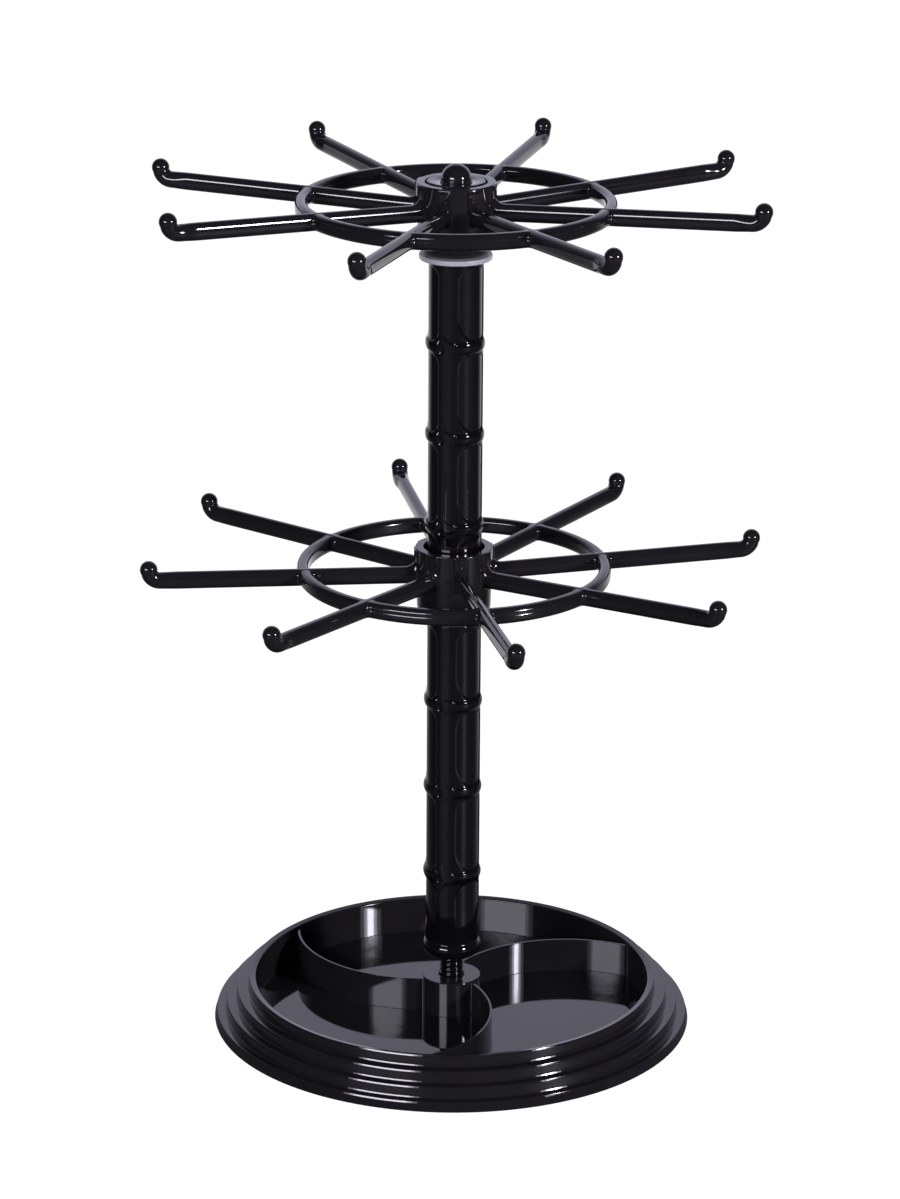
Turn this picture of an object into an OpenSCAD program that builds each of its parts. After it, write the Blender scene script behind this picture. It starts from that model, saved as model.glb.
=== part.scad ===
// Two-tier rotating hook stand: a stepped tray, a pole of two segmented sleeves,
// and two hook wheels that spin on the pole.
// Units are millimetres and +Z is up. The origin is the centre of the base,
// on the surface that the stand rests on.

/* [Tray] */
// Diameter of the base where it stands
base_d = 196; // [190:1:210]
// Outer diameter of the lowest ledge
ledge_1_d = 194.2; // [192:0.2:195]
// Outer diameter of the middle ledge
ledge_2_d = 186.2; // [184:0.2:188]
// Outer diameter of the highest ledge
ledge_3_d = 177.4; // [175:0.2:179]
// Outer diameter of the rim
rim_d = 167.6; // [160:0.2:170]
// Width of the flat rim
rim_w = 2.9; // [2.4:0.1:4]
// Height of the lowest ledge
ledge_z = 3.9; // [3:0.1:5]
// Height of each step above the lowest ledge
step_h = 4.7; // [4:0.1:6]
// Thickness of the moulded walls
wall_t = 2; // [1.6:0.1:2.4]
// Height of the tray floor's top face
floor_z = 2.6; // [2.2:0.1:3.4]
// Height of the dividers' top edge
divider_z = 16.4; // [12:0.2:17]
// Thickness of the dividers
divider_t = 1.2; // [1:0.1:2]
// Radius of each divider's arc
divider_arc_r = 52.9; // [50:0.1:56]
// Distance of each divider's arc centre from the pole's axis
divider_centre_r = 50.9; // [48:0.1:53]
// Angle of the first divider's arc centre
divider_angle = 103.7; // [0:0.1:360]
// Diameter of the centre post
post_d = 24; // [22:0.2:28]
// Height of the centre post's top face
post_z = 17.3; // [15:0.1:20]

/* [Pole] */
// Diameter of a sleeve between its ridges
pole_d = 21.5; // [20:0.1:22]
// Diameter over a ridge
ridge_d = 23.8; // [22.6:0.1:24]
// Half of a ridge's height
ridge_half_h = 2.9; // [2:0.1:4]
// Distance from one ridge to the next
ridge_pitch = 37.25; // [34:0.25:40]
// Diameter over the flange at the foot of a sleeve
flange_d = 24; // [23:0.1:24]
// Height of the flange's widest line above the sleeve's foot
flange_peak_z = 4.1; // [3.6:0.1:4.2]
// Height of the lower sleeve's foot
sleeve_z = 26.75; // [24:0.05:30]
// Gap between the two sleeves, filled by the washer, the hub's web and the play
joint_gap = 3.5; // [3.4:0.1:5]
// Wall thickness of a sleeve
sleeve_t = 2.35; // [2:0.05:3]
// Diameter of the threaded necks
stud_d = 9.7; // [8:0.1:10]
// Length of a neck inside the sleeve above it
stud_seat = 8; // [6:0.5:8]
// Length of a neck inside the sleeve below it
stud_reach = 14; // [8:0.5:16]
// Depth of the threaded socket in the centre post
post_socket = 9; // [6:0.5:12]

/* [Wheels] */
// Height of a hub
hub_h = 28.6; // [26:0.1:32]
// Outer diameter of a hub at its rim
hub_top_d = 31.2; // [30:0.1:33]
// Outer diameter of a hub above its rounded foot
hub_foot_d = 29.6; // [29:0.1:31]
// Radius of the hub's rounded foot
hub_foot_r = 5; // [4:0.1:6]
// Diameter of the cup bored into the hub from above
hub_cup_d = 24.6; // [24.5:0.1:25.4]
// Thickness of the web at the bottom of the cup
web_t = 1.2; // [1:0.1:1.3]
// Radial clearance between the web and the neck it turns on
spin_clearance = 0.08; // [0.05:0.01:0.1]
// Number of hook arms on a wheel
arm_count = 8; // [8:1:8]
// Height of an arm's middle at its root, above the hub's underside
arm_root_z = 17.35; // [16:0.05:19]
// Angle by which an arm rises towards its tip
arm_rise = 1.85; // [0:0.05:3]
// Width of an arm
arm_w = 5; // [4.4:0.1:5.6]
// Height of an arm
arm_h = 7; // [6.7:0.1:7.2]
// Radius from the pole's axis to the middle of a hook's ball
tip_r = 122.9; // [110:0.1:130]
// Height of a ball's middle above the hub's underside
tip_z = 25.4; // [24.5:0.1:26.5]
// Diameter of the hook's upturned end
knob_d = 6.7; // [6.2:0.1:7]
// Diameter of the ball on the hook's end
ball_d = 7.1; // [6.8:0.1:7.6]
// Outer diameter of the ring that ties the arms
ring_d = 126; // [110:1:140]
// Width of the ring's section
ring_w = 4.8; // [4:0.1:6]
// Height of the ring's section
ring_h = 6.4; // [6:0.1:6.5]
// Radius on the ring section's corners
ring_corner_r = 1.4; // [0.8:0.1:2]
// Height of the ring's middle above the hub's underside
ring_z = 18.8; // [18.7:0.05:18.85]
// Angle of the lower wheel's first arm
lower_phase = 11; // [0:0.5:45]
// Angle of the upper wheel's first arm
upper_phase = 28; // [0:0.5:45]

/* [Washers] */
// Thickness of both bearing washers
washer_t = 2; // [1.5:0.1:2]
// Outer diameter of the lower washer
lower_washer_d = 19; // [18:0.1:21.5]
// Outer diameter of the upper washer
upper_washer_d = 29; // [24:0.1:30]

/* [Finial] */
// Diameter of the cap's top disc
cap_d = 23.6; // [22:0.1:23.8]
// Thickness of the cap's top disc
cap_t = 3; // [2:0.1:4]
// Bevel around the cap's top disc
cap_bevel = 0.6; // [0.3:0.1:1]
// Diameter of the stem between the cap's disc and its foot
stem_d = 16; // [12:0.5:20]
// Height of the disc's top face above the hub's underside
cap_z = 29; // [28.8:0.1:30]
// Diameter of the domed knob
dome_d = 11.9; // [10:0.1:14]
// Height of the dome's middle above the disc
dome_lift = 0.6; // [0.4:0.1:2]

/* [Hidden] */
$fn = 96;
over = 1;                          // how far a cutter runs past the face it cuts
play = 0.1;                        // gap above the washer, under the web
thread_gap = 0.03;                 // radial gap of a neck in its socket
washer_gap = 0.25;                 // radial gap of a neck in a washer
wall_flare = 0.4;                  // how far a step's wall spreads towards its foot
tray_r = rim_d / 2 - rim_w;
rim_z = ledge_z + 3 * step_h;
tier = 4 * ridge_pitch;            // height from one wheel to the next
sleeve_l = tier - joint_gap;
upper_sleeve_z = sleeve_z + tier;
sleeve_top = sleeve_z + sleeve_l;
hub_z = sleeve_top + washer_t + play;
finial_z = sleeve_z + 2 * tier;    // foot of the finial cap
rise = tan(arm_rise);
arm_foot_r = hub_foot_d / 2;
bend_r = (tip_z - arm_root_z - (tip_r - arm_foot_r) * rise) / (1 - rise);
bend_x = tip_r - bend_r;           // radius where an arm turns up
shoulder_d = arm_h + 0.3;          // round shoulder where the bar meets the upturned end
tray_plastic = "#1b1b20";
sleeve_plastic = "#18181d";
wheel_plastic = "#202026";
nylon = "#e9e9ee";

lower_arms = [for (k = [1:arm_count]) str("lower_arm_", k)];
upper_arms = [for (k = [1:arm_count]) str("upper_arm_", k)];
dividers = [for (k = [1:3]) str("tray_divider_", k)];

// ---- tray ----

// One moulding: a stepped skirt that is hollow underneath, a rim, an upright
// inner wall and a flat floor
module base_tray() {
    ledge_r = [ledge_1_d, ledge_2_d, ledge_3_d, rim_d] / 2;
    outside = [for (i = [0:3]) each [
        [i == 0 ? base_d / 2 : ledge_r[i] + wall_flare, i == 0 ? 0 : ledge_z + (i - 1) * step_h],
        [ledge_r[i], ledge_z + i * step_h]
    ]];
    underside = [for (i = [2:-1:0]) each [
        [i == 2 ? tray_r + wall_t : ledge_r[i + 1] - wall_t, ledge_z + i * step_h - wall_t],
        [ledge_r[i] - wall_t, ledge_z + i * step_h - wall_t]
    ]];
    color(tray_plastic) rotate_extrude() polygon(concat(
        outside,
        [[tray_r, rim_z], [tray_r, floor_z], [0, floor_z], [0, floor_z - wall_t]],
        [[tray_r + wall_t, floor_z - wall_t]],
        underside,
        [[ledge_r[0] - wall_t, 0]]
    ));
}

// Post in the middle of the tray, with a blind socket for the neck
module centre_post() {
    edge = 0.6;
    color(tray_plastic) difference() {
        union() {
            translate([0, 0, floor_z]) cylinder(d = post_d, h = post_z - floor_z - edge);
            translate([0, 0, post_z - edge]) cylinder(d1 = post_d, d2 = post_d - 2 * edge, h = edge);
        }
        translate([0, 0, post_z - post_socket]) cylinder(d = stud_d + 2 * thread_gap, h = post_socket + over);
    }
}

// Angle at a divider's arc centre between the pole and a point at radius r
function divider_sweep(r) = acos(
    (pow(divider_centre_r, 2) + pow(divider_arc_r, 2) - r * r) / (2 * divider_centre_r * divider_arc_r)
);

// Curved wall from the post to the tray's inner wall
module tray_divider(k) {
    spare = 3;
    first = 180 - divider_sweep(tray_r) - spare;
    last = 180 - divider_sweep(post_d / 2) + spare;
    color(tray_plastic) difference() {
        intersection() {
            rotate(divider_angle + 120 * (k - 1)) translate([divider_centre_r, 0, floor_z])
                rotate(first) rotate_extrude(angle = last - first)
                    translate([divider_arc_r - divider_t / 2, 0]) square([divider_t, divider_z - floor_z]);
            cylinder(r = tray_r, h = rim_z);
        }
        cylinder(d = post_d, h = rim_z);
    }
}

// ---- pole ----

// Rounded bead around the pole, of the given overall diameter and half height
module bead(z, d, half_h) {
    proud = (d - pole_d) / 2;
    r = (half_h * half_h + proud * proud) / (2 * proud);
    translate([0, 0, z]) rotate_extrude() translate([d / 2 - r, 0]) circle(r);
}

// Hollow sleeve with ridges at a regular pitch, a round-edged foot and a thick
// socket in its top
module sleeve(z) {
    socket_l = stud_reach + 3;
    foot_r = flange_d / 2 - flange_peak_z - 0.1;
    bore_d = stud_d + 2 * thread_gap;
    core_d = pole_d - 2 * sleeve_t;
    color(sleeve_plastic) translate([0, 0, z]) difference() {
        union() {
            translate([0, 0, flange_peak_z]) cylinder(d = pole_d, h = sleeve_l - flange_peak_z);
            translate([0, 0, flange_peak_z]) rotate_extrude() translate([foot_r, 0]) circle(flange_peak_z + 0.1);
            cylinder(r = foot_r, h = flange_peak_z);
            for (i = [1:3]) bead(i * ridge_pitch, ridge_d, ridge_half_h);
        }
        translate([0, 0, -over]) cylinder(d = bore_d, h = sleeve_l + 2 * over);
        translate([0, 0, stud_seat]) cylinder(d = core_d, h = sleeve_l - stud_seat - socket_l);
        mirror([0, 0, 1]) cylinder(d = 2 * flange_d, h = over);
    }
}

// Threaded neck that joins the piece above z to the piece below it
module stud(z, reach) {
    color(sleeve_plastic) translate([0, 0, z - reach]) cylinder(d = stud_d, h = reach + stud_seat);
}

module washer(z, d) {
    color(nylon) translate([0, 0, z]) difference() {
        cylinder(d = d, h = washer_t);
        translate([0, 0, -over]) cylinder(d = stud_d + 2 * washer_gap, h = washer_t + 2 * over);
    }
}

// ---- wheels: every module here is drawn with the hub's underside at z = 0 ----

// Outer shape of a hub, without its cup
module hub_blank() {
    foot = hub_foot_d / 2 - hub_foot_r;
    translate([0, 0, hub_foot_r]) cylinder(d1 = hub_foot_d, d2 = hub_top_d, h = hub_h - hub_foot_r);
    translate([0, 0, hub_foot_r]) rotate_extrude() translate([foot, 0]) circle(hub_foot_r);
    cylinder(r = foot, h = hub_foot_r);
}

module hub() {
    floor_bevel = 2;
    difference() {
        hub_blank();
        translate([0, 0, web_t + floor_bevel]) cylinder(d = hub_cup_d, h = hub_h);
        translate([0, 0, web_t])
            cylinder(d1 = hub_cup_d - 2 * floor_bevel, d2 = hub_cup_d, h = floor_bevel);
        translate([0, 0, -over]) cylinder(d = stud_d + 2 * spin_clearance, h = web_t + 2 * over);
    }
}

// Upright stadium: the section of an arm
module arm_section() {
    half = (arm_h - arm_w) / 2;
    translate([-arm_w / 2, -half]) square([arm_w, 2 * half]);
    for (s = [-1, 1]) translate([0, s * half]) circle(d = arm_w);
}

// Straight part of an arm, from inside the hub's wall to the bend
module arm_bar() {
    root_x = hub_cup_d / 2 + 0.5;
    bar_l = (bend_x - root_x) / cos(arm_rise);
    translate([root_x, 0, arm_root_z + (root_x - arm_foot_r) * rise]) rotate([0, -arm_rise, 0])
        rotate([90, 0, 90]) linear_extrude(bar_l) arm_section();
}

// Upturned end of an arm with its ball
module hook() {
    translate([bend_x, 0, tip_z]) rotate([90, 0, 0]) rotate(-90)
        rotate_extrude(angle = 90) translate([bend_r, 0]) circle(d = knob_d);
    translate([bend_x, 0, tip_z - bend_r]) sphere(d = shoulder_d);
    translate([tip_r, 0, tip_z]) sphere(d = ball_d);
}

module arm() {
    difference() {
        union() {
            arm_bar();
            hook();
        }
        hub_blank();
    }
}

module ring_section() {
    w = ring_w - 2 * ring_corner_r;
    h = ring_h - 2 * ring_corner_r;
    square([ring_w, h], center = true);
    square([w, ring_h], center = true);
    for (x = [-1, 1], y = [-1, 1]) translate([x * w / 2, y * h / 2]) circle(ring_corner_r);
}

// Ring that ties the arms together, in the spans between them
module ring() {
    difference() {
        translate([0, 0, ring_z]) rotate_extrude() translate([(ring_d - ring_w) / 2, 0]) ring_section();
        for (k = [1:arm_count]) rotate(arm_angle(k)) arm_bar();
    }
}

function arm_angle(k) = 360 / arm_count * (k - 1);

// Puts a wheel's sub-part on the pole: tier_z is the height of the wheel's tier
module on_wheel(tier_z, phase) {
    color(wheel_plastic) translate([0, 0, hub_z + tier_z]) rotate(phase) children();
}

// ---- finial ----

// Cap that closes the upper hub: a bevelled disc on a stem with a round foot
module finial_cap() {
    foot_h = 2.5;
    foot_d = cap_d - 4;
    top = cap_z - (finial_z - hub_z - tier);
    color(tray_plastic) translate([0, 0, finial_z]) difference() {
        union() {
            cylinder(d = foot_d, h = foot_h);
            cylinder(d = stem_d, h = top - cap_bevel);
            translate([0, 0, top - cap_t]) cylinder(d = cap_d, h = cap_t - cap_bevel);
            translate([0, 0, top - cap_bevel]) cylinder(d1 = cap_d, d2 = cap_d - 2 * cap_bevel, h = cap_bevel);
        }
        translate([0, 0, -over]) cylinder(d = stud_d + 2 * thread_gap, h = stud_seat + over);
    }
}

// Domed knob on the cap
module finial_knob() {
    top = hub_z + tier + cap_z;
    color(tray_plastic) difference() {
        translate([0, 0, top + dome_lift]) sphere(d = dome_d);
        translate([0, 0, top - dome_d]) cylinder(d = 2 * dome_d, h = dome_d);
    }
}

base_tray();
centre_post();
for (k = [1:3]) tray_divider(k);

stud(sleeve_z, sleeve_z - post_z + post_socket - over);  // lower_stud
sleeve(sleeve_z);  // lower_sleeve
washer(sleeve_top, lower_washer_d);  // lower_washer
on_wheel(0, lower_phase) hub();  // lower_hub
on_wheel(0, lower_phase) ring();  // lower_ring
for (k = [1:arm_count]) on_wheel(0, lower_phase) rotate(arm_angle(k)) arm();

stud(upper_sleeve_z, joint_gap + stud_reach);  // upper_stud
sleeve(upper_sleeve_z);  // upper_sleeve
washer(sleeve_top + tier, upper_washer_d);  // upper_washer
on_wheel(tier, upper_phase) hub();  // upper_hub
on_wheel(tier, upper_phase) ring();  // upper_ring
for (k = [1:arm_count]) on_wheel(tier, upper_phase) rotate(arm_angle(k)) arm();

stud(finial_z, joint_gap + stud_reach);  // finial_stud
finial_cap();
finial_knob();
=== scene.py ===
"""Looks of the two-tier hook stand: a stepped tray with curved dividers, a pole of two sleeves with
panels pressed between their ridges, and two hook wheels that spin on the pole.

Shapes are worked out in millimetres and turned into metres when a mesh is made. Heights and radii
come from the CAD nodes' boxes wherever a box gives them; the rest are the named sizes below.
"""

import math

import bmesh
import bpy
import numpy as np
from mathutils import Matrix, Vector


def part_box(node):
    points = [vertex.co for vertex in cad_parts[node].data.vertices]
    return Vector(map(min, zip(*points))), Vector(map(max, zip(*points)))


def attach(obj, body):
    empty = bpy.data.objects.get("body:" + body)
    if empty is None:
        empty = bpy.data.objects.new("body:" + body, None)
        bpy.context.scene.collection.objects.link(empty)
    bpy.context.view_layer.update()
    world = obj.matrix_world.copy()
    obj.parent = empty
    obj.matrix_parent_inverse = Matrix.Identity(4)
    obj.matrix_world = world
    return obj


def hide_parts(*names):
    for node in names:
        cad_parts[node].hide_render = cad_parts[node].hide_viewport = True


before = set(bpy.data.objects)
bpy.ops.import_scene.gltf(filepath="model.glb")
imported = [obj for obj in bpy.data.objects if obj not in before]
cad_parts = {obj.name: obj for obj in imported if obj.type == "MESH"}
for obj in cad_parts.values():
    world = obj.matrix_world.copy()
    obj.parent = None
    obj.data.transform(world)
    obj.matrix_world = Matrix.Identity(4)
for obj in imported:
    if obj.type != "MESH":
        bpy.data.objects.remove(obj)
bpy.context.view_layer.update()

MM = 0.001
UP = Vector((0, 0, 1))


def cad_box(node):
    """Lowest and highest corner of a CAD node, in millimetres."""
    low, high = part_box(node)
    return low / MM, high / MM


# ---------------------------------------------------------------- sizes, in millimetres and degrees

TRAY_LEDGE_R = (97.1, 93.1, 88.7, 83.8)
TRAY_LEDGE_Z = 3.9
TRAY_STEP = 4.7
TRAY_WALL_R = 80.9
TRAY_FLOOR_Z = 2.6
TRAY_WALL = 2.0
TRAY_FLARE = 0.4
RIM_FALL = 0.6  # the rim's top leans inward by this much

DIVIDER_T = 1.2
DIVIDER_ARC_R = 52.9
DIVIDER_CENTRE_R = 50.9
DIVIDER_ANGLE = 103.7

POLE_R = 11.1  # over an upright rib
RIDGE_R = 11.9
RIDGE_HALF_H = 2.9
RIDGE_PITCH = 37.25
RIDGES = 3
FLANGE_PEAK_Z = 4.1
NECK_R = 4.85
NECK_PITCH = 2.2
THREAD_DEPTH = 0.45

HUB_FOOT_R = 14.8
HUB_FOOT_ROUND = 5.0
HUB_CUP_R = 12.3
HUB_WEB_T = 1.2
HUB_BORE_R = 4.93

ARMS = 8
ARM_ROOT_Z = 17.35
ARM_RISE = math.tan(math.radians(1.85))
ARM_HALF_W = 2.5
ARM_HALF_H = 3.5
TIP_R = 122.9
TIP_Z = 25.4
KNOB_R = 3.35
BALL_R = 3.55
BEND_R = (TIP_Z - ARM_ROOT_Z - (TIP_R - HUB_FOOT_R) * ARM_RISE) / (1 - ARM_RISE)
BEND_X = TIP_R - BEND_R
ROOT_TOP = 4.4  # fillet over an arm's root
ROOT_SIDE = 1.2
PILASTER_HALF_W = 2.9  # the arm's width goes on up the hub's wall as a low pilaster
PILASTER_PROUD = 0.7
ELBOW_LENGTH = 7.0  # over which the bar grows round

RING_R = 63.0
RING_W = 4.8
RING_H = 6.6
RING_Z = 18.8
RING_CORNER = 2.1

SEGMENTS = 192


# ---------------------------------------------------------------- mesh making


def rounded(corners, hold=0.06):
    """Points of a profile through (r, z, fillet) corners. Each fillet becomes an arc with a point
    beside each of its ends, which keeps the flat stretches flat in the shading."""
    points = []
    count = len(corners)
    for i, (r, z, fillet) in enumerate(corners):
        here = np.array((r, z), float)
        before = np.array(corners[i - 1][:2], float)
        after = np.array(corners[(i + 1) % count][:2], float)
        if not fillet:
            points.append(here)
            continue
        a = (here - before) / np.linalg.norm(here - before)
        b = (after - here) / np.linalg.norm(after - here)
        turn = math.atan2(a[0] * b[1] - a[1] * b[0], a @ b)
        reach = fillet * math.tan(abs(turn) / 2)
        side = math.copysign(1, turn)
        centre = here - a * reach + side * fillet * np.array((-a[1], a[0]))
        steps = max(3, math.ceil(math.degrees(abs(turn)) / (15 if fillet < 2 else 6)))
        points.append(here - a * (reach + hold))
        for step in range(steps + 1):
            t = turn * step / steps
            arm = here - a * reach - centre
            turned = (arm[0] * math.cos(t) - arm[1] * math.sin(t), arm[0] * math.sin(t) + arm[1] * math.cos(t))
            points.append(centre + turned)
        points.append(here + b * (reach + hold))
    return np.array(points)


def skin(rings, loop=False):
    """Vertices and faces of the skin over rings of equal length. A ring shrunk to a point is a pole,
    and an open end is closed by one face."""
    verts, rows, faces = [], [], []
    for ring in rings:
        ring = np.asarray(ring, float)
        pole = np.ptp(ring, axis=0).max() < 1e-6
        rows.append((len(verts), 1 if pole else len(ring)))
        verts.extend(ring[:1] if pole else ring)
    pairs = list(zip(rows, rows[1:]))
    if loop:
        pairs.append((rows[-1], rows[0]))
    for (a, na), (b, nb) in pairs:
        for i in range(max(na, nb)):
            j = (i + 1) % max(na, nb)
            if na == nb:
                faces.append((a + i, a + j, b + j, b + i))
            elif na == 1:
                faces.append((a, b + j, b + i))
            else:
                faces.append((a + i, a + j, b))
    if not loop:
        for start, n in (rows[0], rows[-1]):
            if n > 1:
                faces.append(tuple(range(start, start + n)))
    return verts, faces


def make_piece(name, shells):
    """A smooth-shaded object in metres from (vertices, faces) shells in millimetres."""
    verts, faces = [], []
    for shell_verts, shell_faces in shells:
        start = len(verts)
        verts.extend(shell_verts)
        faces.extend(tuple(start + i for i in face) for face in shell_faces)
    mesh = bpy.data.meshes.new(name)
    mesh.from_pydata([tuple(MM * x for x in v) for v in verts], [], faces)
    work = bmesh.new()
    work.from_mesh(mesh)
    bmesh.ops.recalc_face_normals(work, faces=work.faces)
    for face in work.faces:
        face.smooth = True
    work.to_mesh(mesh)
    work.free()
    piece = bpy.data.objects.new(name, mesh)
    bpy.context.scene.collection.objects.link(piece)
    return piece


def turned(profile, angles=SEGMENTS, relief=None):
    """Shell made by turning a profile of (r, z) points about the pole's axis. Where neither end is on
    the axis, the profile closes on itself. relief(angle, r, z) gives the radius to use instead of r."""
    if isinstance(angles, int):
        angles = np.linspace(0, 2 * math.pi, angles, endpoint=False)
    r, z = np.asarray(profile, float).T
    radius = np.repeat(r[:, None], len(angles), 1)
    height = np.repeat(z[:, None], len(angles), 1)
    if relief:
        radius = relief(angles[None, :], radius, height)
    rings = np.stack([radius * np.cos(angles), radius * np.sin(angles), height], -1)
    return skin(rings, loop=r[0] > 1e-6 and r[-1] > 1e-6)


def flare(distance, fillet):
    """How far a fillet of that radius stands out at a distance from the wall that it runs into."""
    d = np.clip(distance, 0, fillet)
    return fillet - np.sqrt(2 * fillet * d - d * d)


def smoothstep(x):
    x = np.clip(x, 0, 1)
    return x * x * (3 - 2 * x)


# ---------------------------------------------------------------- materials


def node(tree, kind, **settings):
    made = tree.nodes.new(kind)
    for key, value in settings.items():
        if key in made.inputs:
            made.inputs[key].default_value = value
        else:
            setattr(made, key, value)
    return made


def ramp(tree, source, low, high):
    """Maps a 0..1 value to low..high."""
    made = node(tree, "ShaderNodeMapRange")
    made.inputs["To Min"].default_value = low
    made.inputs["To Max"].default_value = high
    tree.links.new(source, made.inputs["Value"])
    return made.outputs["Result"]


def new_material(name):
    material = bpy.data.materials.new(name)
    material.use_nodes = True
    tree = material.node_tree
    shader = tree.nodes["Principled BSDF"]
    place = node(tree, "ShaderNodeTexCoord").outputs["Object"]
    return material, tree, shader, place


def noise(tree, place, scale, detail=3.0, roughness=0.5):
    made = node(tree, "ShaderNodeTexNoise", Scale=scale, Detail=detail, Roughness=roughness)
    tree.links.new(place, made.inputs["Vector"])
    return made.outputs["Fac"]


def gloss_black(name, colour, gloss, peel, wear):
    """Moulded black plastic. gloss is the (smoothest, roughest) roughness, peel the strength of the
    moulding's faint waviness, and wear that of the fine handling marks."""
    material, tree, shader, place = new_material(name)
    mottle = noise(tree, place, 60)
    tint = node(tree, "ShaderNodeMix", data_type="RGBA")
    tint.inputs["A"].default_value = (*colour, 1)
    tint.inputs["B"].default_value = (*(1.5 * c for c in colour), 1)
    tree.links.new(mottle, tint.inputs["Factor"])
    tree.links.new(tint.outputs["Result"], shader.inputs["Base Color"])
    handling = noise(tree, place, 240, detail=6, roughness=0.7)
    tree.links.new(ramp(tree, handling, *gloss), shader.inputs["Roughness"])
    waves = node(tree, "ShaderNodeBump", Strength=peel, Distance=0.0004)
    tree.links.new(noise(tree, place, 130, detail=1), waves.inputs["Height"])
    grain = node(tree, "ShaderNodeBump", Strength=wear, Distance=0.00002)
    tree.links.new(noise(tree, place, 2600, detail=2), grain.inputs["Height"])
    tree.links.new(waves.outputs["Normal"], grain.inputs["Normal"])
    tree.links.new(grain.outputs["Normal"], shader.inputs["Normal"])
    shader.inputs["IOR"].default_value = 1.45
    shader.inputs["Specular Tint"].default_value = (0.90, 0.88, 1.0, 1)
    return material


def white_nylon(name):
    """Unpigmented nylon: satin, slightly translucent, with faint flow marks."""
    material, tree, shader, place = new_material(name)
    flow = noise(tree, place, 90, detail=4)
    tint = node(tree, "ShaderNodeMix", data_type="RGBA")
    tint.inputs["A"].default_value = (0.34, 0.34, 0.40, 1)
    tint.inputs["B"].default_value = (0.42, 0.42, 0.48, 1)
    tree.links.new(flow, tint.inputs["Factor"])
    tree.links.new(tint.outputs["Result"], shader.inputs["Base Color"])
    tree.links.new(ramp(tree, flow, 0.3, 0.42), shader.inputs["Roughness"])
    bump = node(tree, "ShaderNodeBump", Strength=0.2, Distance=0.00005)
    tree.links.new(noise(tree, place, 900), bump.inputs["Height"])
    tree.links.new(bump.outputs["Normal"], shader.inputs["Normal"])
    shader.inputs["Subsurface Weight"].default_value = 0.25
    shader.inputs["Subsurface Radius"].default_value = (0.0015, 0.0015, 0.002)
    return material


TRAY_BLACK = gloss_black("tray_gloss_black", (0.0078, 0.0072, 0.0094), (0.03, 0.06), 0.02, 0.05)
POLE_BLACK = gloss_black("pole_gloss_black", (0.0026, 0.0023, 0.0034), (0.03, 0.07), 0.03, 0.06)
WHEEL_BLACK = gloss_black("wheel_gloss_black", (0.0078, 0.0072, 0.0094), (0.04, 0.08), 0.03, 0.06)
NYLON = white_nylon("white_nylon")


def place(piece, body, slot, material, *nodes):
    """Hands a finished piece to the frame, in place of the CAD nodes that it stands for."""
    piece.data.materials.append(material)
    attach(piece, body)
    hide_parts(*nodes)


# ---------------------------------------------------------------- tray


def tray_shell():
    """The stepped skirt, rim, inner wall and floor, and the hollow underside."""
    base_r = cad_box("base_tray")[1].x
    ledges = [(r, TRAY_LEDGE_Z + i * TRAY_STEP) for i, r in enumerate(TRAY_LEDGE_R)]
    bevel_h, bevel_w, corner, lip = 0.75, 0.32, 0.4, 0.65
    outside = [(base_r, 0, 0.15)]
    for i, (r, z) in enumerate(ledges):
        if i:
            outside.append((r + TRAY_FLARE + 0.24, ledges[i - 1][1], 0.12))
            outside.append((r + TRAY_FLARE - 0.04, ledges[i - 1][1] + 0.6, corner))
        outside += [(r, z - bevel_h, 0.5), (r - bevel_w, z, 0.25)]
    rim_z = ledges[-1][1] - RIM_FALL
    inside = [
        (TRAY_WALL_R, rim_z, lip),
        (TRAY_WALL_R - 0.2, TRAY_FLOOR_Z, 0.2),
        (0, TRAY_FLOOR_Z, 0),
    ]
    underside = [(0, TRAY_FLOOR_Z - TRAY_WALL, 0), (TRAY_WALL_R + TRAY_WALL, TRAY_FLOOR_Z - TRAY_WALL, 0.15)]
    for i in (2, 1, 0):
        z = ledges[i][1] - TRAY_WALL
        inner_r = TRAY_WALL_R if i == 2 else TRAY_LEDGE_R[i + 1] - 2 * TRAY_WALL
        underside += [(inner_r + TRAY_WALL, z, 0.2), (TRAY_LEDGE_R[i] - TRAY_WALL, z, 0.2)]
    underside.append((TRAY_LEDGE_R[0] - TRAY_WALL, 0, 0.15))
    return turned(rounded(underside + outside + inside), 2 * SEGMENTS)


def post_shell():
    """The centre post with the mouth of its threaded socket."""
    low, high = cad_box("centre_post")
    r = high.x
    profile = rounded(
        [
            (NECK_R + 0.2, low.z - 0.5, 0),
            (r + 0.2, low.z - 0.5, 0),
            (r + 0.2, low.z, 0),
            (r, low.z + 0.02, 0.18),
            (r - 0.05, high.z, 0.5),
            (NECK_R + 0.75, high.z, 0.15),
            (NECK_R + 0.2, high.z - 0.6, 0.1),
        ]
    )
    return turned(profile, SEGMENTS)


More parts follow.
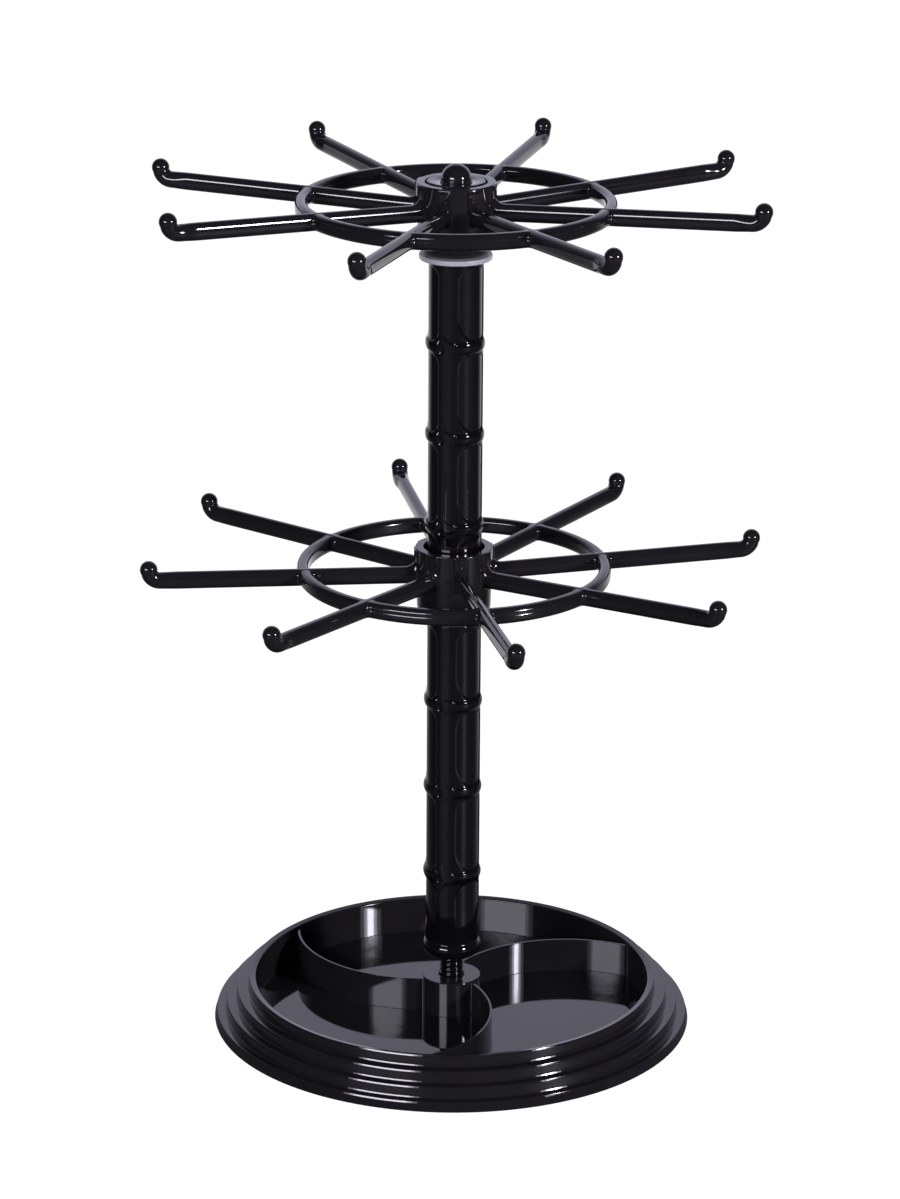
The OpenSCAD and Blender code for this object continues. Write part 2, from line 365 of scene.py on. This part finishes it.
def divider_shell(k):
    """A curved wall from the post to the tray's inner wall, drafted, with a rounded top and fillets
    along the floor and at both ends."""
    top = cad_box(f"tray_divider_{k}")[1].z
    post_r = cad_box("centre_post")[1].x
    turn = math.radians(DIVIDER_ANGLE + 120 * (k - 1))
    centre = DIVIDER_CENTRE_R * np.array((math.cos(turn), math.sin(turn)))

    def arc_angle(r):
        cos = (DIVIDER_CENTRE_R**2 + DIVIDER_ARC_R**2 - r * r) / (2 * DIVIDER_CENTRE_R * DIVIDER_ARC_R)
        return turn + math.pi - math.acos(cos)

    first, last = arc_angle(TRAY_WALL_R + 0.4), arc_angle(post_r - 0.4)
    length = abs(last - first) * DIVIDER_ARC_R
    ends = np.array((0, 0.4, 0.45, 0.55, 0.7, 0.9, 1.15, 1.45, 1.8))
    along = np.concatenate([ends, np.linspace(3, length - 3, 72), (length - ends)[::-1]])
    end_flare = flare(np.minimum(along, length - along) - 0.4, 0.5)
    foot, crown, base, draft = 0.2, 0.16, 0.3, 0.1
    half = DIVIDER_T / 2
    section = rounded(
        [
            (half + foot, TRAY_FLOOR_Z - base, 0),
            (half + foot, TRAY_FLOOR_Z, 0),
            (half, TRAY_FLOOR_Z + 0.02, foot - 0.02),
            (half - draft, top, crown - 0.01),
            (-half + draft, top, crown - 0.01),
            (-half, TRAY_FLOOR_Z + 0.02, foot - 0.02),
            (-half - foot, TRAY_FLOOR_Z, 0),
            (-half - foot, TRAY_FLOOR_Z - base, 0),
        ],
        hold=0.03,
    )
    rings = []
    for s, wide in zip(along, end_flare):
        t = first + (last - first) * s / length
        r = DIVIDER_ARC_R + section[:, 0] + np.sign(section[:, 0]) * wide
        rings.append(np.stack([centre[0] + r * np.cos(t), centre[1] + r * np.sin(t), section[:, 1]], -1))
    return skin(rings)


# ---------------------------------------------------------------- pole

RIB_CENTRE = -121.0  # degrees: the middle of one of the three upright ribs
RIB_HALF = 5.65
LEDGE_HALF = 37.6  # degrees from a rib's middle to the deep part of the panel
SHALLOW = 0.12
DEEP = 0.42
RIDGE_GAP = (-7.0, 35.0)  # degrees from a rib's middle where the ridge sinks to the rib's level
PANEL_GAP_ABOVE = 1.9  # from a ridge's middle to the foot of the panel above it
PANEL_GAP_BELOW = 2.6
PANEL_SLANT = 0.9
DEG = math.pi / 180 * POLE_R  # length of one degree around the pole


def inside_panel(across, left, right, up, down, corner):
    """Distance inside a panel's outline, negative outside. across runs from left to right, up and down
    are the distances to its foot and its top, and corner(across) gives each corner's (a, b) radii."""
    middle = (left + right) / 2
    sideways = np.minimum(across - left, right - across)
    (foot_a, foot_b), (top_a, top_b) = corner(across < middle)
    result = np.minimum(sideways, np.minimum(up, down))
    for rise, a, b in ((up, foot_a, foot_b), (down, top_a, top_b)):
        px = a - sideways
        pz = b - rise
        q = np.hypot(px / a, pz / b)
        from_centre = np.hypot(px, pz) * (1 / np.maximum(q, 1e-6) - 1)
        result = np.where((px > 0) & (pz > 0), np.minimum(result, from_centre), result)
    return result


def sleeve_relief(foot, top):
    """Radius of a sleeve's outer wall: ridges at a regular pitch, and between them three panels that
    are pressed in, with a step near one side and round ends."""

    def relief(angle, r, z):
        w = z - foot
        height = np.clip(np.round(w / RIDGE_PITCH), 1, RIDGES) * RIDGE_PITCH
        rise = np.clip(1 - ((w - height) / RIDGE_HALF_H) ** 2, 0, 1)
        turn = (np.degrees(angle) - RIB_CENTRE) % 120
        past_rib = (turn + 30) % 120 - 30
        sunk = smoothstep((past_rib - RIDGE_GAP[0]) / 6) * smoothstep((RIDGE_GAP[1] - past_rib) / 6)
        solid = np.maximum(r, POLE_R + (RIDGE_R - POLE_R) * rise * (1 - 0.95 * sunk))
        cell = np.clip(np.floor(w / RIDGE_PITCH), 0, RIDGES)
        low = np.where(cell == 0, -20.0, cell * RIDGE_PITCH)
        high = np.where(cell == RIDGES, top - foot + PANEL_GAP_BELOW - 1.2, (cell + 1) * RIDGE_PITCH)
        across = turn * DEG + 0 * w
        left, mid, right = RIB_HALF * DEG, LEDGE_HALF * DEG, (120 - RIB_HALF) * DEG
        centre = (mid + right) / 2
        lean = PANEL_SLANT * (across - centre) / (right - mid) * 2
        down = high - PANEL_GAP_BELOW - w
        up = w - low - PANEL_GAP_ABOVE
        half = (right - mid) / 2

        def deep_corner(on_left):
            return (half, np.where(on_left, 9.0, 5.2)), (half, np.where(on_left, 6.0, 4.9))

        def shallow_corner(on_left):
            return (3.8, 4.6), (3.8, 4.6)

        deep = inside_panel(across, mid, right, up + lean, down, deep_corner)
        shallow = inside_panel(across, left, right, up, down, shallow_corner)
        steep = np.where(across > centre, 0.8, 1.0)
        panel = POLE_R - SHALLOW - (DEEP - SHALLOW) * smoothstep(deep / steep + 0.5)
        faint = np.where(cell == 0, smoothstep((w - 12) / 12), 1)
        edge = np.where(across > centre, 0.8, 0.5)
        radius = solid + faint * (panel - solid) * smoothstep(np.maximum(shallow, deep) / edge + 0.5)
        dimple_x = np.minimum(across, 120 * DEG - across)
        dimple = np.hypot(dimple_x, w - height + 1.0)
        radius = radius - 0.35 * smoothstep((1.7 - dimple) / 0.6)
        on_wall = (r > POLE_R - 0.01) & (w > 2 * FLANGE_PEAK_Z) & (w < top - foot - 0.5)
        return np.where(on_wall, radius, r)

    return relief


def sleeve_shell(name):
    """A hollow sleeve: rounded foot, relief wall, a thick socket in the top."""
    low, high = cad_box(name)
    foot, top = low.z, high.z
    length = top - foot
    peak_r = high.x - FLANGE_PEAK_Z
    foot_arc = [
        (peak_r + FLANGE_PEAK_Z * math.sin(t), foot + FLANGE_PEAK_Z * (1 - math.cos(t)), 0)
        for t in np.radians(np.linspace(0, 90 + 46, 26))
    ]
    fine, coarse = 0.36, 3.2
    rows = [2 * FLANGE_PEAK_Z]
    while rows[-1] < length - 0.9:
        w = rows[-1]
        near = min(abs(w - i * RIDGE_PITCH - 3) for i in range(RIDGES + 1))
        busy = near < 11.5 or w > length - 9
        rows.append(w + (fine if busy else coarse))
    wall = [(POLE_R, foot + w, 0) for w in rows]
    bore_r = NECK_R + 0.03
    profile = rounded(
        [(bore_r + 0.5, foot, 0.2), (bore_r, foot + 0.5, 0.2), (bore_r, top - 0.5, 0.2), (bore_r + 0.5, top, 0.2)]
        + [(POLE_R, top, 0.3)]
        + wall[::-1]
        + foot_arc[::-1]
    )
    step = 1.6
    edges = [RIB_HALF, LEDGE_HALF, 120 - RIB_HALF]
    third = sorted(set(np.round(np.concatenate(
        [np.arange(0, 120, step)] + [e + np.arange(-1.6, 1.61, 0.25) for e in edges]), 2)))
    angles = np.radians(np.array([RIB_CENTRE + 120 * k + a for k in range(3) for a in third]))
    return turned(profile, angles, sleeve_relief(foot, top))


def neck_shell(name):
    """A threaded neck."""
    low, high = cad_box(name)
    rows = np.arange(low.z + 0.01, high.z, NECK_PITCH / 10)

    def thread(angle, r, z):
        wave = (z / NECK_PITCH - angle / (2 * math.pi)) % 1
        flank = np.clip(np.abs(wave - 0.5) * 3.4 - 0.35, 0, 1)
        return np.where(r > NECK_R - 0.01, NECK_R - THREAD_DEPTH * smoothstep(flank), r)

    profile = [(0, rows[0])] + [(NECK_R, z) for z in rows] + [(0, rows[-1])]
    return turned(profile, 72, thread)


def washer_shell(name):
    low, high = cad_box(name)
    bore_r = NECK_R + 0.25
    profile = rounded(
        [(bore_r, low.z, 0.2), (high.x, low.z, 0.45), (high.x, high.z, 0.45), (bore_r, high.z, 0.2)]
    )
    return turned(profile, SEGMENTS // 2)


# ---------------------------------------------------------------- wheels, with the hub's underside at 0


def hub_radius(z):
    """Outer radius of the hub's wall at a height above its rounded foot."""
    low, high = cad_box("lower_hub")
    taper = (high.x - HUB_FOOT_R) / (high.z - low.z - HUB_FOOT_ROUND)
    return HUB_FOOT_R + (z - HUB_FOOT_ROUND) * taper


def hub_shell():
    low, high = cad_box("lower_hub")
    rim_r, height = high.x, high.z - low.z
    chamfer = 2.0
    return turned(
        rounded(
            [
                (HUB_BORE_R, 0, 0.2),
                (HUB_FOOT_R - 0.02, 0, HUB_FOOT_ROUND - 0.3),
                (rim_r, height, 0.45),
                (HUB_CUP_R, height, 0.3),
                (HUB_CUP_R, HUB_WEB_T + chamfer, 0.5),
                (HUB_CUP_R - chamfer, HUB_WEB_T, 0.5),
                (HUB_BORE_R, HUB_WEB_T, 0.2),
            ]
        ),
        SEGMENTS,
    )


def arm_outline(count=48, power=2.35):
    """Points of an arm's section and their outward normals: an upright superellipse."""
    t = np.linspace(0, 2 * math.pi, count, endpoint=False)
    c, s = np.cos(t), np.sin(t)
    y = ARM_HALF_W * np.sign(c) * np.abs(c) ** (2 / power)
    z = ARM_HALF_H * np.sign(s) * np.abs(s) ** (2 / power)
    ny = np.sign(y) * np.abs(y / ARM_HALF_W) ** (power - 1) / ARM_HALF_W
    nz = np.sign(z) * np.abs(z / ARM_HALF_H) ** (power - 1) / ARM_HALF_H
    length = np.hypot(ny, nz)
    return y, z, ny / length, nz / length


def arm_shell():
    """A hook arm along +X: a root that flows up the hub's wall, a straight bar that grows round, an
    upturned end, and a ball."""
    y, z, ny, nz = arm_outline()
    fillet = ROOT_SIDE + (ROOT_TOP - ROOT_SIDE) * np.clip(nz, 0, 1)
    rings = []

    def bar_ring(x, dy=0.0, dz=0.0):
        rings.append(np.stack([x, y + dy, ARM_ROOT_Z + (x - HUB_FOOT_R) * ARM_RISE + z + dz], -1))

    def root_ring(share, ahead):
        dy, dz = ny * ROOT_SIDE * share, nz * fillet * share
        wall = np.sqrt(hub_radius(ARM_ROOT_Z + z + dz) ** 2 - (y + dy) ** 2)
        bar_ring(wall + ahead, dy, dz)

    root_ring(0, -1.6)
    root_ring(1.06, -0.12)
    for t in np.radians(np.linspace(0, 90, 16)):
        root_ring(1 - math.sin(t), fillet * (1 - math.cos(t)))
    start = rings[-1][:, 0]
    end = BEND_X - ELBOW_LENGTH
    for part in (0.04, 0.12, 0.25, 0.4, 0.55, 0.7, 0.85, 1):
        bar_ring(start + (end - start) * part)

    away = np.hypot(y, z)
    cy, cz = y / away, z / away
    for part in np.linspace(0, 1, 10)[1:]:
        rounder = smoothstep(part)
        bar_ring(end + ELBOW_LENGTH * part + 0 * y, rounder * (KNOB_R * cy - y), rounder * (KNOB_R * cz - z))
    for bend in np.radians(np.linspace(9, 66, 7)):
        up = np.array((-math.sin(bend), 0, math.cos(bend)))
        centre = np.array((BEND_X + BEND_R * math.sin(bend), 0, TIP_Z - BEND_R * math.cos(bend)))
        rings.append(centre + KNOB_R * (cy[:, None] * np.array((0, 1, 0)) + cz[:, None] * up))
    heading = math.radians(76)
    up = np.array((-math.sin(heading), 0, math.cos(heading)))
    ahead = np.array((math.cos(heading), 0, math.sin(heading)))
    tip = np.array((TIP_R, 0, TIP_Z))
    for polar in np.radians(np.linspace(72, 180, 13)):
        out = math.sin(polar) * (cy[:, None] * np.array((0, 1, 0)) + cz[:, None] * up)
        rings.append(tip + BALL_R * (out - math.cos(polar) * ahead))
    rings[-1][:] = rings[-1][0]
    return skin(rings)


def pilaster_shell():
    """The low pilaster on the hub's wall, from an arm's root to the hub's rim."""
    low, high = cad_box("lower_hub")
    top = high.z - low.z - 0.1
    rings = []
    for z, shrink in ((ARM_ROOT_Z, 0), (top - 0.6, 0), (top - 0.2, 0.1), (top, 0.35)):
        face = hub_radius(z) + PILASTER_PROUD - shrink
        back, half = face - 2.4, PILASTER_HALF_W
        corner = face - 0.35
        outline = rounded(
            [(back, -half, 0), (corner, -half, 0.5), (face, 0, 16), (corner, half, 0.5), (back, half, 0)]
        )
        rings.append(np.column_stack([outline, np.full(len(outline), z)]))
    return skin(rings)


def arm_half_width(z):
    """Half the width of an arm at a height, in line with the ring."""
    middle = ARM_ROOT_Z + (RING_R - RING_W / 2 - HUB_FOOT_R) * ARM_RISE
    share = np.clip(np.abs(z - middle) / ARM_HALF_H, 0, 0.995)
    return ARM_HALF_W * (1 - share**2.35) ** (1 / 2.35)


def ring_shells():
    """The eight spans of the ring, each with fillets where it runs into an arm's side. A faint raised
    parting line runs around the outer face."""
    inner, outer = RING_R - RING_W, RING_R
    low, high = RING_Z - RING_H / 2, RING_Z + RING_H / 2
    seam, half_seam = 0.07, 0.22
    section = rounded(
        [
            (inner, low, RING_CORNER),
            (outer, low, RING_CORNER),
            (outer, RING_Z - half_seam, 0.05),
            (outer + seam, RING_Z, 0.08),
            (outer, RING_Z + half_seam, 0.05),
            (outer, high, RING_CORNER),
            (inner, high, RING_CORNER),
        ],
        hold=0.04,
    )
    r, z = section.T
    sideways = np.clip((r - (inner + outer) / 2) / (RING_W / 2 - RING_CORNER * 0.5), -1, 1)
    fillet = 1.5
    start = arm_half_width(z)
    steps = np.concatenate([(-0.4,), fillet * (1 - np.cos(np.radians(np.linspace(0, 90, 9))))])
    step_angle = 2 * math.pi / ARMS
    shells = []
    for k in range(ARMS):
        rings = []
        for side, turn in ((1, k * step_angle), (-1, (k + 1) * step_angle)):
            end = []
            for d in steps:
                y = start + d
                out = r + sideways * float(flare(max(d, 0), fillet)) - 0 * y
                x = np.sqrt(out * out - y * y)
                y = side * y
                c, s = math.cos(turn), math.sin(turn)
                end.append(np.stack([x * c - y * s, x * s + y * c, z], -1))
            rings.append(end)
        reach = (start + fillet) / RING_R
        spans = []
        for part in np.linspace(0, 1, 18)[1:-1]:
            t = k * step_angle + reach + (step_angle - 2 * reach) * part
            spans.append(np.stack([r * np.cos(t), r * np.sin(t), z], -1))
        shells.append(skin(rings[0] + spans + rings[1][::-1]))
    return shells


# ---------------------------------------------------------------- finial


def cap_shell():
    """The cap that closes the upper hub, from its foot to its bevelled disc."""
    low, high = cad_box("finial_cap")
    foot_r, stem_r, disc_t, bevel = high.x - 2, 8.0, 3.0, 0.3
    disc_r = high.x - 0.35
    top = high.z
    return turned(
        rounded(
            [
                (NECK_R + 0.03, low.z, 0.1),
                (foot_r, low.z, 0.3),
                (foot_r, low.z + 2.5, 0.3),
                (stem_r, low.z + 2.5, 0.3),
                (stem_r, top - disc_t, 0.3),
                (disc_r, top - disc_t, 0.2),
                (disc_r, top - bevel, 0.1),
                (disc_r - bevel, top, 0.15),
                (NECK_R + 0.6, top - 0.02, 0),
                (NECK_R + 0.03, top - 0.6, 0),
            ]
        ),
        SEGMENTS,
    )


def dome_shell():
    """The domed knob, with a small fillet where it sits on the cap."""
    low, high = cad_box("finial_knob")
    r = high.x
    centre = high.z - r
    foot = math.acos((low.z + 0.35 - centre) / r)
    arc = [(r * math.sin(t), centre + r * math.cos(t)) for t in np.linspace(0, foot, 40)]
    last = arc[-1]
    curl = [(last[0] + 0.35 * (1 - math.cos(t)), last[1] - 0.35 * math.sin(t)) for t in np.radians((30, 60, 90))]
    return turned(arc + curl + [(0, low.z)], 96)


# ---------------------------------------------------------------- building the stand


def tip_angle(node_name):
    """The way an arm points, in radians, from the upper half of its CAD node's ball."""
    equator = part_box(node_name)[1].z - BALL_R * MM
    ball = np.array([v.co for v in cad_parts[node_name].data.vertices if v.co.z > equator])
    x, y, _ = (ball.min(axis=0) + ball.max(axis=0)) / 2
    return math.radians(round(math.degrees(math.atan2(y, x)) * 2) / 2)


def build_tray():
    place(make_piece("tray_body", [tray_shell()]), "stand", "tray_plastic", TRAY_BLACK, "base_tray")
    place(make_piece("tray_post", [post_shell()]), "stand", "tray_plastic", TRAY_BLACK, "centre_post")
    for k in (1, 2, 3):
        piece = make_piece(f"tray_wall_{k}", [divider_shell(k)])
        place(piece, "stand", "tray_plastic", TRAY_BLACK, f"tray_divider_{k}")


def build_pole():
    for tier in ("lower", "upper"):
        sleeve = make_piece(f"{tier}_sleeve_tube", [sleeve_shell(f"{tier}_sleeve")])
        place(sleeve, "stand", "pole_plastic", POLE_BLACK, f"{tier}_sleeve")
        washer = make_piece(f"{tier}_bearing_washer", [washer_shell(f"{tier}_washer")])
        place(washer, "stand", "nylon", NYLON, f"{tier}_washer")
    for name in ("lower", "upper", "finial"):
        neck = make_piece(f"{name}_threaded_neck", [neck_shell(f"{name}_stud")])
        place(neck, "stand", "pole_plastic", POLE_BLACK, f"{name}_stud")
    place(make_piece("finial_disc", [cap_shell()]), "stand", "tray_plastic", TRAY_BLACK, "finial_cap")
    place(make_piece("finial_dome", [dome_shell()]), "stand", "tray_plastic", TRAY_BLACK, "finial_knob")


def build_wheel(tier):
    body = f"{tier}_wheel"
    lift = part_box(f"{tier}_hub")[0].z
    first = tip_angle(f"{tier}_arm_1")
    pieces = [(f"{tier}_wheel_hub", [hub_shell()], f"{tier}_hub", first)]
    pieces.append((f"{tier}_wheel_ring", ring_shells(), f"{tier}_ring", first))
    for k in range(1, ARMS + 1):
        shells = [arm_shell(), pilaster_shell()]
        pieces.append((f"{tier}_hook_arm_{k}", shells, f"{tier}_arm_{k}", tip_angle(f"{tier}_arm_{k}")))
    for name, shells, cad_node, turn in pieces:
        piece = make_piece(name, shells)
        piece.data.transform(Matrix.Translation(UP * lift) @ Matrix.Rotation(turn, 4, "Z"))
        place(piece, body, "wheel_plastic", WHEEL_BLACK, cad_node)


# ---------------------------------------------------------------- studio

CAMERA_BACK = 1.62411
CAMERA_HEIGHT = 0.72255
CAMERA_PITCH = -18.4628
CAMERA_PAN = -0.0527
CAMERA_ROLL = 0.3316
LENS = 127.91
SENSOR = 36.0


def build_camera():
    data = bpy.data.cameras.new("photo_camera")
    data.lens, data.sensor_width = LENS, SENSOR
    data.clip_start, data.clip_end = 0.05, 40
    camera = bpy.data.objects.new("photo_camera", data)
    bpy.context.scene.collection.objects.link(camera)
    pan = Matrix.Rotation(-math.radians(CAMERA_PAN), 4, "Z")
    pitch = Matrix.Rotation(math.radians(90 + CAMERA_PITCH), 4, "X")
    roll = Matrix.Rotation(math.radians(CAMERA_ROLL), 4, "Z")
    camera.matrix_world = Matrix.Translation((0, -CAMERA_BACK, CAMERA_HEIGHT)) @ pan @ pitch @ roll
    bpy.context.scene.camera = camera


def softbox(name, azimuth, elevation, wide, tall, radiance, distance=1.7):
    """A soft light seen from the stand as wide by tall degrees. Azimuth is from the camera's side,
    positive to the right."""
    target = Vector((0, 0, 0.2))
    width, height = (2 * distance * math.tan(math.radians(x / 2)) for x in (wide, tall))
    watts = radiance * math.pi * width * height
    a, e = math.radians(azimuth), math.radians(elevation)
    away = Vector((math.sin(a) * math.cos(e), -math.cos(a) * math.cos(e), math.sin(e)))
    data = bpy.data.lights.new(name, "AREA")
    data.shape, data.size, data.size_y, data.energy = "RECTANGLE", width, height, watts
    light = bpy.data.objects.new(name, data)
    bpy.context.scene.collection.objects.link(light)
    light.location = target + away * distance
    light.rotation_mode = "QUATERNION"
    light.rotation_quaternion = away.to_track_quat("Z", "Y")
    light.visible_camera = False
    return light


def white_to_camera(tree, colour):
    """The colour for reflections and light, and plain white where it is seen directly."""
    pick = node(tree, "ShaderNodeMix", data_type="RGBA")
    pick.inputs["B"].default_value = (1, 1, 1, 1)
    tree.links.new(node(tree, "ShaderNodeLightPath").outputs["Is Camera Ray"], pick.inputs["Factor"])
    tree.links.new(colour, pick.inputs["A"])
    return pick.outputs["Result"]


def build_world():
    """A studio that is bright behind the stand and dark behind the camera."""
    world = bpy.data.worlds.new("studio")
    world.use_nodes = True
    bpy.context.scene.world = world
    tree = world.node_tree
    background = tree.nodes["Background"]
    direction = node(tree, "ShaderNodeTexCoord").outputs["Generated"]
    split = node(tree, "ShaderNodeSeparateXYZ")
    tree.links.new(direction, split.inputs[0])
    fade = node(tree, "ShaderNodeMapRange", interpolation_type="SMOOTHSTEP")
    fade.inputs["From Min"].default_value = 0.45
    fade.inputs["From Max"].default_value = 0.88
    tree.links.new(split.outputs["Y"], fade.inputs["Value"])
    sky = node(tree, "ShaderNodeMix", data_type="RGBA")
    sky.inputs["A"].default_value = (0.03, 0.03, 0.034, 1)
    sky.inputs["B"].default_value = (0.86, 0.85, 1.05, 1)
    tree.links.new(fade.outputs["Result"], sky.inputs["Factor"])
    tree.links.new(white_to_camera(tree, sky.outputs["Result"]), background.inputs["Color"])


def build_floor():
    """A pale floor: plain white where it is seen directly, and dark grey with a painted glow behind the stand for
    reflections and light.
    """
    work = bmesh.new()
    bmesh.ops.create_circle(work, cap_ends=True, segments=96, radius=9)
    mesh = bpy.data.meshes.new("studio_floor")
    work.to_mesh(mesh)
    work.free()
    floor = bpy.data.objects.new("studio_floor", mesh)
    bpy.context.scene.collection.objects.link(floor)
    material, tree, shader, place_at = new_material("pale_floor")
    tint = node(tree, "ShaderNodeMix", data_type="RGBA")
    tint.inputs["A"].default_value = (0.11, 0.11, 0.115, 1)
    tint.inputs["B"].default_value = (0.13, 0.13, 0.135, 1)
    tree.links.new(noise(tree, place_at, 3), tint.inputs["Factor"])
    tree.links.new(tint.outputs["Result"], shader.inputs["Base Color"])
    shader.inputs["Roughness"].default_value = 0.5
    shader.inputs["Specular IOR Level"].default_value = 0.1
    # Painted glow: the floor's emission grows behind the stand and fades towards its sides and front, standing in
    # for a lit sweep.
    split = node(tree, "ShaderNodeSeparateXYZ")
    tree.links.new(place_at, split.inputs[0])
    aside = node(tree, "ShaderNodeMath", operation="ABSOLUTE")
    tree.links.new(split.outputs["X"], aside.inputs[0])
    behind = node(tree, "ShaderNodeMath", operation="MULTIPLY_ADD")
    behind.inputs[1].default_value = -0.5
    tree.links.new(aside.outputs[0], behind.inputs[0])
    tree.links.new(split.outputs["Y"], behind.inputs[2])
    glow = node(tree, "ShaderNodeMapRange", interpolation_type="SMOOTHSTEP")
    glow.inputs["From Min"].default_value = -0.1
    glow.inputs["From Max"].default_value = 0.6
    glow.inputs["To Max"].default_value = 0.9
    tree.links.new(behind.outputs[0], glow.inputs["Value"])
    tree.links.new(white_to_camera(tree, glow.outputs["Result"]), shader.inputs["Emission Color"])
    shader.inputs["Emission Strength"].default_value = 1
    floor.data.materials.append(material)


build_camera()
build_world()
build_floor()
for layer, (wide, tall, radiance) in enumerate(((25, 9, 13), (29, 9.5, 8), (34, 10, 4))):
    softbox(f"left_light_{layer}", -33, 15, wide, tall, radiance, 1.7 + 0.02 * layer)
for layer, (wide, tall, radiance) in enumerate(((4, 8, 150), (8, 9, 40), (13, 10, 9))):
    softbox(f"right_light_{layer}", 51, 15, wide, tall, radiance, 1.7 + 0.02 * layer)
bpy.context.scene.view_settings.view_transform = "Standard"

build_tray()
build_pole()
for wheel in ("lower", "upper"):
    build_wheel(wheel)
